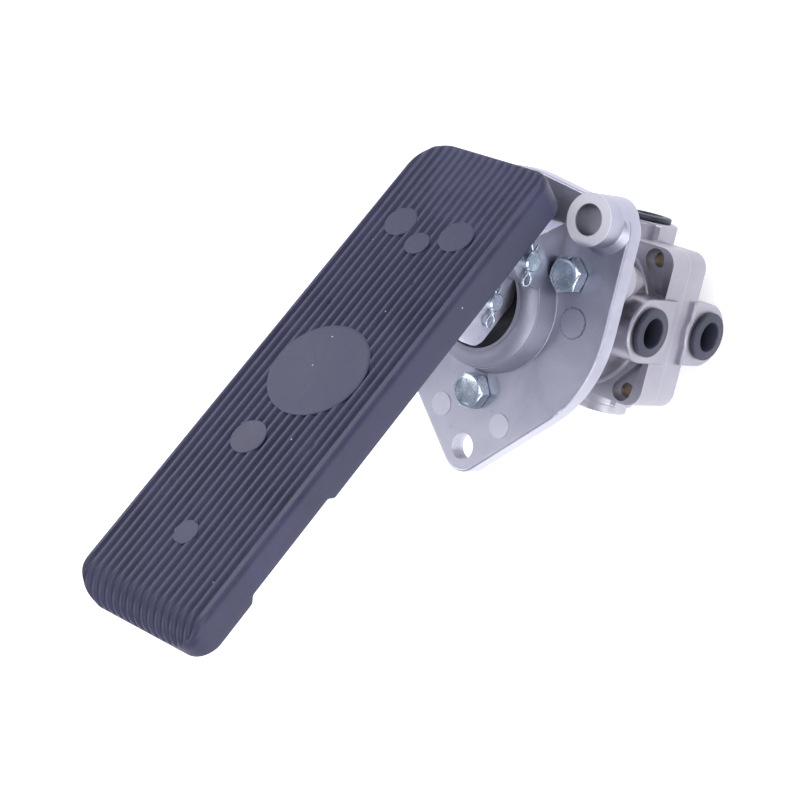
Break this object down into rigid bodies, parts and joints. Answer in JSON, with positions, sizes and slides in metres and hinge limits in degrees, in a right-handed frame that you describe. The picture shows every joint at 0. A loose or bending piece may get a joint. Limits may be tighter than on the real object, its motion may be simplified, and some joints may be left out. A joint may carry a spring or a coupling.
{
  "type": "foot brake valve",
  "caption": "Dual-circuit air brake foot valve: ribbed treadle hinged on a cast mounting plate, with a roller and plunger over a two-stage valve body with side ports",
  "frame": {"origin": "on the valve axis, on the underside of the mounting plate", "axes": "+Z square to the mounting plate towards the treadle, +Y from the treadle's heel to its toe, +X to the driver's right"},
  "size_m": [0.1048, 0.1798, 0.2618],
  "materials": {
    "cast_aluminium": "die-cast, lightly blasted",
    "treadle_aluminium": "bare die-cast, bright",
    "zinc_steel": "bright zinc-plated steel",
    "yellow_zinc": "yellow-passivated steel",
    "pad_rubber": "moulded, satin",
    "black_rubber": "moulded",
    "seal_rubber": "smooth",
    "plug_plastic": "moulded polyethylene",
    "cover_plastic": "moulded nylon",
    "roller_steel": "turned",
    "spring_steel": "wire",
    "piston_aluminium": "turned, anodised",
    "acetal": "turned acetal"
  },
  "bodies": {
    "valve": {"mounting_plate": "cast_aluminium", "mounting_cap_screws": "zinc_steel", "fulcrum_pin": "zinc_steel", "fulcrum_pin_cotter": "zinc_steel", "treadle_stop_button": "black_rubber", "plunger_boot": "black_rubber", "primary_piston_spring": "spring_steel", "primary_valve_spring": "spring_steel", "primary_valve_retainer": "acetal", "relay_piston_spring": "spring_steel", "secondary_valve_spring": "spring_steel", "secondary_valve_retainer": "acetal", "retaining_rings": "spring_steel", "upper_body": "cast_aluminium", "lower_body": "cast_aluminium", "body_seal": "seal_rubber", "body_screws": "yellow_zinc", "primary_supply_plug": "plug_plastic", "primary_delivery_plug": "plug_plastic", "secondary_supply_plug": "plug_plastic", "secondary_delivery_plug_heel": "plug_plastic", "secondary_delivery_plug_toe": "zinc_steel", "exhaust_cover": "cover_plastic", "exhaust_cover_screws": "zinc_steel", "exhaust_flap": "black_rubber", "exhaust_flap_screw": "zinc_steel"},
    "treadle": {"treadle_casting": "treadle_aluminium", "treadle_pad": "pad_rubber", "roller_pin": "zinc_steel", "roller_pin_cotter": "zinc_steel"},
    "roller": {"roller": "roller_steel"},
    "plunger": {"plunger": "acetal", "spring_seat": "roller_steel"},
    "primary_piston": {"primary_piston": "piston_aluminium", "primary_piston_seal": "seal_rubber", "rubber_graduating_spring": "black_rubber"},
    "primary_valve": {"primary_inlet_valve": "black_rubber"},
    "relay_piston": {"relay_piston": "piston_aluminium", "relay_piston_seal": "seal_rubber", "relay_link_stem": "roller_steel", "relay_link_nut": "zinc_steel"},
    "secondary_valve": {"secondary_inlet_valve": "black_rubber"}
  },
  "joints": [
    {"name": "treadle_pivot", "type": "hinge", "parent": "valve", "child": "treadle", "pos_m": [0, -0.021, 0.0256], "axis": [-1, 0, 0], "range_deg": [0, 14], "stiffness_Nm_per_rad": 18.6, "springref_deg": -7.45},
    {"name": "roller_spin", "type": "hinge", "parent": "treadle", "child": "roller", "pos_m": [0, -0.0026, 0.0294], "axis": [1, 0, 0], "continuous": true},
    {"name": "plunger_slide", "type": "slide", "parent": "valve", "child": "plunger", "axis": [0, 0, -1], "range_m": [0, 0.0046], "deforming": ["plunger_boot"]},
    {"name": "primary_piston_slide", "type": "slide", "parent": "valve", "child": "primary_piston", "axis": [0, 0, -1], "range_m": [0, 0.0024], "deforming": ["primary_piston_spring", "rubber_graduating_spring"]},
    {"name": "primary_valve_slide", "type": "slide", "parent": "valve", "child": "primary_valve", "axis": [0, 0, -1], "range_m": [0, 0.0017], "deforming": ["primary_valve_spring"]},
    {"name": "relay_piston_slide", "type": "slide", "parent": "valve", "child": "relay_piston", "axis": [0, 0, -1], "range_m": [0, 0.0022], "deforming": ["relay_piston_spring"]},
    {"name": "secondary_valve_slide", "type": "slide", "parent": "valve", "child": "secondary_valve", "axis": [0, 0, -1], "range_m": [0, 0.0015], "deforming": ["secondary_valve_spring"]}
  ],
  "couplings": [
    {"joint": "plunger_slide", "follows": "treadle_pivot", "m_per_rad": 0.0184},
    {"joint": "primary_piston_slide", "follows": "treadle_pivot", "m_per_rad": 0.0098},
    {"joint": "primary_valve_slide", "follows": "treadle_pivot", "m_per_rad": 0.00655},
    {"joint": "relay_piston_slide", "follows": "treadle_pivot", "m_per_rad": 0.009},
    {"joint": "secondary_valve_slide", "follows": "treadle_pivot", "m_per_rad": 0.00575}
  ]
}
